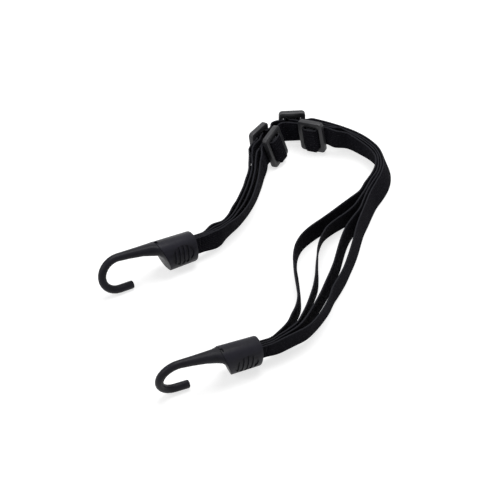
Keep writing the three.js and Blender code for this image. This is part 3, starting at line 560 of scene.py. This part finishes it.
def plastic(name, dark, light, roughness, grain, shine):
    """Moulded plastic: a fine grain, faint clouding of the colour and paler rubbed edges."""
    material, tree, shader = new_material(name)
    place = node(tree, "ShaderNodeTexCoord").outputs["Object"]
    cloud = noise(tree, place, scale=160, detail=4)
    fine = noise(tree, place, scale=grain, detail=3, roughness=0.6)
    edge = node(tree, "ShaderNodeNewGeometry").outputs["Pointiness"]
    rub = ramp(tree, edge, [(0.5, (0, 0, 0)), (0.62, (1, 1, 1))])
    tone = ramp(tree, cloud, [(0.35, dark), (0.7, light)])
    pale = tuple(channel * RUBBED for channel in light)
    worn = mixed(tree, maths(tree, "MULTIPLY", rub, RUB_SHARE), tone, (*pale, 1))
    tree.links.new(worn, shader.inputs["Base Color"])
    smooth, dull = roughness - GLOSS_SPREAD, roughness + GLOSS_SPREAD
    gloss = ramp(tree, fine, [(0.3, (smooth,) * 3), (0.7, (dull,) * 3)])
    tree.links.new(gloss, shader.inputs["Roughness"])
    shader.inputs["Specular IOR Level"].default_value = shine
    bumped(tree, shader, fine, strength=0.35, distance=0.00012)
    return material


def webbing(name):
    """Woven elastic: ribs along the band, picks across it, pale flecks, painted light and shade on
    the weave, painted shade lines for the rib grooves, and plain selvedges with a painted
    highlight.
    """
    material, tree, shader = new_material(name)
    place = node(tree, "ShaderNodeUVMap", uv_map="band").outputs["UV"]
    parts = node(tree, "ShaderNodeSeparateXYZ", {"Vector": place})
    along, across = parts.outputs["X"], parts.outputs["Y"]
    rib = maths(tree, "MULTIPLY", across, math.pi / WEAVE_ACROSS)
    odd = maths(tree, "FLOOR", maths(tree, "DIVIDE", across, WEAVE_ACROSS))
    stagger = maths(tree, "MULTIPLY", odd, WEAVE_ALONG / 2)
    pick = maths(tree, "MULTIPLY", maths(tree, "ADD", along, stagger), 2 * math.pi / WEAVE_ALONG)
    ridge = maths(tree, "ABSOLUTE", maths(tree, "SINE", rib))
    bead = maths(tree, "ADD", maths(tree, "MULTIPLY", maths(tree, "SINE", pick), 0.5), 0.5)
    beads = maths(tree, "ADD", maths(tree, "MULTIPLY", bead, 0.7), 0.3)
    weave = maths(tree, "MULTIPLY", ridge, beads)
    fuzz = noise(tree, place, scale=2.4, detail=3, roughness=0.7)
    patch = noise(tree, place, scale=0.16, detail=2)
    speck = noise(tree, place, scale=0.9, detail=2, roughness=0.8)
    # Painted light and shade: the weave's raised threads are painted paler and the gaps between
    # them darker, varied by the fuzz.
    weave_light_and_shade = maths(tree, "MULTIPLY", weave, maths(tree, "ADD", fuzz, 0.1))
    tone = ramp(tree, weave_light_and_shade, [(0.05, THREAD_GAP_SHADE), (0.4, THREAD), (0.75, THREAD_CROWN_LIGHT)])
    dust = ramp(tree, patch, [(0.3, (0.75, 0.75, 0.75)), (0.75, (1, 1, 1))])
    # Painted shade: thin darker lines along the band, standing for the grooves between the ribs.
    rib_turn = 2 * math.pi * RIBS / (BAND_WIDTH - 2 * SELVEDGE)
    cord = maths(tree, "COSINE", maths(tree, "MULTIPLY", across, rib_turn))
    crown = maths(tree, "ADD", maths(tree, "MULTIPLY", cord, -0.5), 0.5)
    groove_shade_lines = ramp(tree, crown, [(0, GROOVE_SHADE), (0.5, (1, 1, 1))])
    tone = mixed(tree, 1.0, tone, dust, blend_type="MULTIPLY")
    flecks = ramp(tree, speck, [(0.54, (0, 0, 0)), (0.68, (1, 1, 1))])
    tone = mixed(tree, maths(tree, "MULTIPLY", flecks, FLECK_SHARE), tone, (*FLECK, 1))
    tone = mixed(tree, 1.0, tone, groove_shade_lines, blend_type="MULTIPLY")
    # Painted highlight: a paler strip along both edges of the band, standing for the light the
    # upper selvedges catch from above.
    outward = maths(tree, "DIVIDE", maths(tree, "ABSOLUTE", across), BAND_WIDTH / 2)
    colour = mixed(tree, ramp(tree, outward, SELVEDGE_HIGHLIGHT_STOPS), tone, (*SELVEDGE_HIGHLIGHT, 1))
    tree.links.new(colour, shader.inputs["Base Color"])
    shader.inputs["Roughness"].default_value = 0.95
    shader.inputs["Specular IOR Level"].default_value = 0.04
    height = maths(tree, "ADD", weave, maths(tree, "MULTIPLY", fuzz, 0.3))
    bumped(tree, shader, height, strength=0.8, distance=0.00018)
    return material


def steel(name):
    material, tree, shader = new_material(name)
    place = node(tree, "ShaderNodeTexCoord").outputs["Object"]
    drawn = noise(tree, place, scale=900, detail=2)
    tone = ramp(tree, drawn, [(0.3, (0.3, 0.3, 0.31)), (0.7, (0.42, 0.42, 0.43))])
    tree.links.new(tone, shader.inputs["Base Color"])
    shader.inputs["Metallic"].default_value = 1
    shader.inputs["Roughness"].default_value = 0.35
    return material


# Threads of the weave, in millimetres, and their colours, with painted light on the crowns and
# selvedges and painted shade in the gaps and grooves
WEAVE_ALONG = 0.9
WEAVE_ACROSS = 0.8
# Painted shade for the gaps between threads, the threads' own tone, and painted light for their
# crowns
THREAD_GAP_SHADE = (0.004, 0.0039, 0.0054)
THREAD = (0.0162, 0.0155, 0.0218)
THREAD_CROWN_LIGHT = (0.038, 0.037, 0.048)
FLECK = (0.05, 0.05, 0.057)
# Darkness of the painted shade lines for the rib grooves
GROOVE_SHADE = (0.25, 0.25, 0.25)
# Colour and place of the painted highlight along the selvedges
SELVEDGE_HIGHLIGHT = (0.027, 0.027, 0.032)
SELVEDGE_HIGHLIGHT_STOPS = [(0.935, (0, 0, 0)), (0.965, (1, 1, 1))]
FLECK_SHARE = 0.7

# Rubbed edges and gloss of the plastic
RUBBED = 2.2
RUB_SHARE = 0.5
GLOSS_SPREAD = 0.08

HOOK_SHADES = (0.0035, 0.0034, 0.006), (0.0085, 0.0082, 0.0125)
ADJUSTER_SHADES = (0.01, 0.01, 0.0115), (0.024, 0.024, 0.027)

HOOK_PLASTIC = plastic("hook_plastic", *HOOK_SHADES, roughness=0.42, grain=2600, shine=0.14)
ADJUSTER_PLASTIC = plastic(
    "adjuster_plastic", *ADJUSTER_SHADES, roughness=0.4, grain=1900, shine=0.35
)
WEBBING = webbing("elastic_webbing")
PIN_STEEL = steel("pin_steel")


def dress(obj, material):
    obj.data.materials.clear()
    obj.data.materials.append(material)


WELD_DISTANCE = 1e-6
SHARP_EDGE = math.radians(32)


def smoothing_group():
    tree = bpy.data.node_groups.new("smooth_by_angle", "GeometryNodeTree")
    for direction in ("INPUT", "OUTPUT"):
        tree.interface.new_socket("Geometry", in_out=direction, socket_type="NodeSocketGeometry")
    source = tree.nodes.new("NodeGroupInput")
    drain = tree.nodes.new("NodeGroupOutput")
    weld = {"Geometry": source.outputs[0], "Distance": WELD_DISTANCE}
    welded = node(tree, "GeometryNodeMergeByDistance", weld).outputs[0]
    whole = {"Geometry": welded, "Shade Smooth": True}
    smooth = node(tree, "GeometryNodeSetShadeSmooth", whole).outputs[0]
    angle = node(tree, "GeometryNodeInputMeshEdgeAngle").outputs["Unsigned Angle"]
    settings = {"data_type": "FLOAT", "operation": "GREATER_THAN"}
    sharp = node(tree, "FunctionNodeCompare", {0: angle, 1: SHARP_EDGE}, **settings).outputs[0]
    crisp = {"Geometry": smooth, "Selection": sharp, "Shade Smooth": False}
    edges = node(tree, "GeometryNodeSetShadeSmooth", crisp, domain="EDGE")
    tree.links.new(edges.outputs[0], drain.inputs[0])
    return tree


SMOOTHING = smoothing_group()


def smooth_by_angle(obj):
    """Rounds the shading of a faceted solid, except over its sharp edges."""
    obj.modifiers.new("smooth", "NODES").node_group = SMOOTHING


# Free stretches, each made as a run from the hook and an end piece beside the adjuster
for name, listed in ROUTES.items():
    band_name, arm, run = name.split("_")
    through = run == "through"
    adjuster = f"{band_name}_{arm}"
    toward = ADJUSTERS[adjuster]["hook"]
    depth = THROUGH_LEVEL if through else RETURN_LEVEL
    first = THROUGH_START if through else RETURN_START
    offset = (1 if band_name == "outer" else -1) * (1.5 if through else 0.5) * BAND_PITCH
    neck_end = NECK_LENGTH + CLEARANCE
    mouth = [at_mouth(HOOK_PLACES[arm], d, offset) for d in (neck_end, neck_end + LEAD)]
    place = ADJUSTER_PLACES[adjuster]
    glide = [beside_adjuster(place, toward * d, depth) for d in (first, first + GLIDE)]
    points = [on_route(point) for point in listed]
    nearest = points[0] if arm == "left" else points[-1]
    mouth[1] = (mouth[1][0], (mouth[0][1] + nearest[1]) / 2)
    if arm == "left":
        band = free_band(mouth + points + glide[::-1], "start", GATHER_LENGTH[arm])
        cord_length = max(band["travel"][-1] - END_RUN[arm] * MM, CORD_LEAST * MM)
        split = int(np.searchsorted(band["travel"], cord_length))
        cord_run, end_run = part_of(band, 0, split), part_of(band, split, len(band["travel"]) - 1)
    else:
        band = free_band(glide + points + mouth[::-1], "end", GATHER_LENGTH[arm])
        split = int(np.searchsorted(band["travel"], END_RUN[arm] * MM))
        end_run, cord_run = part_of(band, 0, split), part_of(band, split, len(band["travel"]) - 1)
    end_piece = band_mesh(f"{name}_end", end_run)
    dress(end_piece, WEBBING)
    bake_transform(end_piece)
    cord = band_mesh(f"{name}_run", cord_run)
    dress(cord, WEBBING)
    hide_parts(name)
    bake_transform(cord)

# Middles, each in two halves, one beside each adjuster
for band_name, listed in MIDDLES.items():
    near, far = THROUGH_START, THROUGH_START + GLIDE
    place = ADJUSTER_PLACES[f"{band_name}_left"]
    leave = [beside_adjuster(place, d, THROUGH_LEVEL) for d in (near, far)]
    place = ADJUSTER_PLACES[f"{band_name}_right"]
    arrive = [beside_adjuster(place, d, THROUGH_LEVEL) for d in (-far, -near)]
    band = free_band(leave + [on_route(point) for point in listed] + arrive)
    last = len(band["travel"]) - 1
    middle = round(last * MIDDLE_SPLIT[band_name])
    for arm, first, final, outer_end in (("left", 0, middle, 0), ("right", middle, last, last)):
        half = band_mesh(f"{band_name}_middle_{arm}_half", part_of(band, first, final))
        dress(half, WEBBING)
        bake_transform(half)
        if arm == "left":
            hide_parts(f"{band_name}_middle")

# Woven runs and sewn ends, which ride their adjusters
for name, place in ADJUSTER_PLACES.items():
    side, hook = ADJUSTERS[name]["side"], ADJUSTERS[name]["hook"]
    axes = (place["origin"], place["run"] * side, place["out"], place["up"])
    weave = sagged(plane_band(weave_path(), axes, WEAVE_WIDTH), place)
    sewn_end = plane_band(sewn_path(side * hook), axes)
    for kind, band in (("weave", weave), ("sewn_end", sewn_end)):
        piece = band_mesh(f"{name}_{kind}_band", band)
        dress(piece, WEBBING)
        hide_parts(f"{name}_{kind}")
        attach(piece, f"{name}_adjuster")
    frame_node = frame["nodes"][f"{name}_adjuster"]
    dress(frame_node, ADJUSTER_PLASTIC)
    smooth_by_angle(frame_node)

# Turns of the bands round the hooks' pins, with the necks at the mouth
for arm, place in HOOK_PLACES.items():
    axes = (place["origin"], place["run"], place["side"], place["up"])
    for band_name, side in (("outer", place["outward"]), ("inner", -place["outward"])):
        band = plane_band(turn_path(side), axes, GATHERED_WIDTH)
        turn = band_mesh(f"{arm}_{band_name}_turn", band)
        dress(turn, WEBBING)
        necks = [f"{arm}_{band_name}_{run}_neck" for run in ("return", "through")]
        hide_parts(f"{arm}_{band_name}_band_loop", *necks)
        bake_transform(turn)
        dress(frame["nodes"][f"{arm}_{band_name}_band_pin"], PIN_STEEL)
    for kind in ("core", "cover"):
        moulding = frame["nodes"][f"{arm}_hook_{kind}"]
        dress(moulding, HOOK_PLASTIC)
        smooth_by_angle(moulding)


# Floor, world and lamps: white to the camera and in reflections, plain light on the object
def seen_rays(tree):
    rays = node(tree, "ShaderNodeLightPath").outputs
    seen = maths(tree, "MAXIMUM", rays["Is Camera Ray"], rays["Is Glossy Ray"])
    return maths(tree, "MAXIMUM", seen, rays["Is Transmission Ray"])


def make_floor():
    mesh = bpy.data.meshes.new("floor")
    turns = ((-1, -1), (1, -1), (1, 1), (-1, 1))
    mesh.from_pydata([(FLOOR_REACH * x, FLOOR_REACH * y, 0) for x, y in turns], [], [(0, 1, 2, 3)])
    floor = bpy.data.objects.new("floor", mesh)
    bpy.context.collection.objects.link(floor)
    material, tree, shader = new_material("floor_white")
    shader.inputs["Base Color"].default_value = (*FLOOR_PALE, 1)
    shader.inputs["Roughness"].default_value = 0.9
    seen = seen_rays(tree)
    glow = node(tree, "ShaderNodeEmission", {"Strength": maths(tree, "MULTIPLY", seen, FLOOR_GLOW)})
    both = node(tree, "ShaderNodeAddShader", {0: shader.outputs[0], 1: glow.outputs[0]})
    tree.links.new(both.outputs[0], tree.nodes["Material Output"].inputs["Surface"])
    mesh.materials.append(material)


def make_world():
    world = bpy.data.worlds.new("studio")
    world.use_nodes = True
    tree = world.node_tree
    background = tree.nodes["Background"]
    seen = seen_rays(tree)
    levels = {"Factor": seen, "A": WORLD_LIGHT, "B": 1.0}
    strength = node(tree, "ShaderNodeMix", levels, data_type="FLOAT")
    tree.links.new(strength.outputs["Result"], background.inputs["Strength"])
    background.inputs["Color"].default_value = (1, 1, 1, 1)
    bpy.context.scene.world = world


def make_lamp(name, at, size, watts):
    data = bpy.data.lights.new(name, "AREA")
    data.shape = "SQUARE"
    data.size = size
    data.energy = watts
    lamp = bpy.data.objects.new(name, data)
    lamp.location = at
    lamp.rotation_euler = (-Vector(at)).to_track_quat("-Z", "Y").to_euler()
    bpy.context.collection.objects.link(lamp)


FLOOR_REACH = 3
FLOOR_PALE = (0.5, 0.5, 0.5)
FLOOR_GLOW = 0.7
WORLD_LIGHT = 0.25
make_floor()
make_world()
make_lamp("overhead", at=(0.1, 0.35, 1.3), size=0.9, watts=14)
make_lamp("left_fill", at=(-1.1, -0.5, 0.9), size=0.8, watts=6)
bpy.context.scene.view_settings.view_transform = "Standard"
